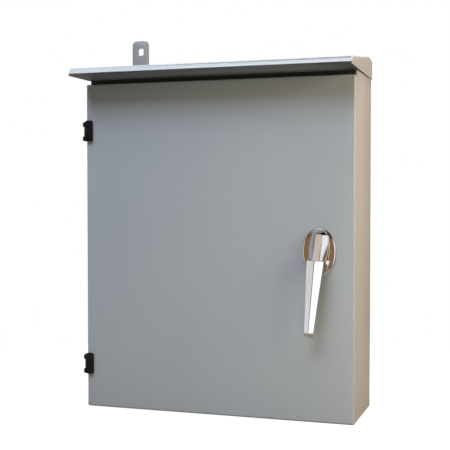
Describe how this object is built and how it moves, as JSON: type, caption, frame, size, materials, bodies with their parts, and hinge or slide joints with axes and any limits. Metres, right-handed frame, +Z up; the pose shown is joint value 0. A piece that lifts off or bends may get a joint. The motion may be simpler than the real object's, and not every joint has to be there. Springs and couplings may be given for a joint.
{
  "type": "automatic transfer switch",
  "caption": "Grey hooded wall cabinet with a hinged door and chrome L-handle, holding a solenoid-driven transfer switch and its control gear.",
  "frame": {"origin": "middle of the cabinet's back, on the wall", "axes": "+X to the viewer's right, +Y into the wall, +Z up; the door faces -Y"},
  "size_m": [0.5128, 0.221, 0.7005],
  "materials": {
    "grey_paint": "semi-gloss powder coat",
    "black_hinge": "black powder coat",
    "zinc": "bright zinc plate",
    "chrome": "polished",
    "rubber": "matt",
    "copper": "bare copper",
    "tin": "tinned",
    "brass": "bare brass",
    "dark_moulding": "moulded",
    "red_moulding": "thermoset moulding",
    "grey_moulding": "moulded",
    "white_moulding": "moulded",
    "green_moulding": "moulded",
    "clear_pocket": "frosted",
    "winding": "varnished tape over enamelled wire",
    "cable": "sleeving"
  },
  "bodies": {
    "cabinet": {"enclosure_body": "grey_paint", "rain_hood": "grey_paint", "rain_seal": "rubber", "hanging_tab": "grey_paint", "gland_plate": "zinc", "cable_grommet_1": "rubber", "cable_grommet_2": "rubber", "cable_grommet_3": "rubber", "hinge_bracket_upper": "zinc", "hinge_bracket_lower": "zinc", "hinge_pin_upper": "zinc", "hinge_pin_lower": "zinc", "sub_panel": "zinc", "switch_base": "red_moulding", "arc_cover_upper": "dark_moulding", "arc_cover_lower": "dark_moulding", "normal_terminal_1": "copper", "normal_terminal_2": "copper", "normal_terminal_3": "copper", "emergency_terminal_1": "copper", "emergency_terminal_2": "copper", "emergency_terminal_3": "copper", "load_terminal_1": "copper", "load_terminal_2": "copper", "load_terminal_3": "copper", "solenoid_yoke": "zinc", "solenoid_coil": "winding", "aux_switch": "dark_moulding", "neutral_bar": "brass", "ground_bar": "tin", "din_rail": "zinc", "control_breaker": "white_moulding", "control_relay": "dark_moulding", "terminal_strip": "grey_moulding", "controller_case": "grey_moulding", "control_transformer": "zinc", "control_harness": "cable"},
    "door": {"door_panel": "grey_paint", "door_gasket": "rubber", "hinge_leaf_upper": "black_hinge", "hinge_leaf_lower": "black_hinge", "handle_escutcheon": "chrome", "handle_nut": "zinc", "rod_guide_upper": "dark_moulding", "rod_guide_lower": "dark_moulding", "document_pocket": "clear_pocket"},
    "handle": {"handle_lever": "chrome", "latch_cam": "zinc"},
    "upper_rod": {"latch_rod_upper": "zinc"},
    "lower_rod": {"latch_rod_lower": "zinc"},
    "shaft": {"transfer_shaft": "zinc", "contact_arm_1": "copper", "contact_arm_2": "copper", "contact_arm_3": "copper", "manual_lever": "red_moulding"},
    "plunger": {"solenoid_plunger": "tin"},
    "toggle": {"breaker_toggle": "dark_moulding"},
    "button_1": {"controller_button_1": "green_moulding"},
    "button_2": {"controller_button_2": "red_moulding"}
  },
  "joints": [
    {"name": "door_hinge", "type": "hinge", "parent": "cabinet", "child": "door", "pos_m": [-0.2536, -0.1585, 0], "axis": [0, 0, -1], "range_deg": [0, 120]},
    {"name": "handle_turn", "type": "hinge", "parent": "door", "child": "handle", "pos_m": [0.1896, -0.161, -0.01], "axis": [0, 1, 0], "range_deg": [0, 85]},
    {"name": "upper_rod_slide", "type": "slide", "parent": "door", "child": "upper_rod", "axis": [0, 0, -1], "range_m": [0, 0.0272]},
    {"name": "lower_rod_slide", "type": "slide", "parent": "door", "child": "lower_rod", "axis": [0, 0, 1], "range_m": [0, 0.0272]},
    {"name": "transfer_turn", "type": "hinge", "parent": "cabinet", "child": "shaft", "pos_m": [-0.0375, -0.062, 0], "axis": [1, 0, 0], "range_deg": [0, 50]},
    {"name": "plunger_slide", "type": "slide", "parent": "cabinet", "child": "plunger", "axis": [0, 0, -1], "range_m": [0, 0.0154]},
    {"name": "toggle_turn", "type": "hinge", "parent": "cabinet", "child": "toggle", "pos_m": [0.012, -0.0846, 0.2], "axis": [1, 0, 0], "range_deg": [0, 44]},
    {"name": "button_1_press", "type": "slide", "parent": "cabinet", "child": "button_1", "axis": [0, 1, 0], "range_m": [0, 0.0015], "stiffness_N_per_m": 400},
    {"name": "button_2_press", "type": "slide", "parent": "cabinet", "child": "button_2", "axis": [0, 1, 0], "range_m": [0, 0.0015], "stiffness_N_per_m": 400}
  ],
  "couplings": [
    {"joint": "upper_rod_slide", "follows": "handle_turn", "m_per_rad": 0.018216},
    {"joint": "lower_rod_slide", "follows": "handle_turn", "m_per_rad": 0.018216},
    {"joint": "plunger_slide", "follows": "transfer_turn", "m_per_rad": 0.017434}
  ]
}
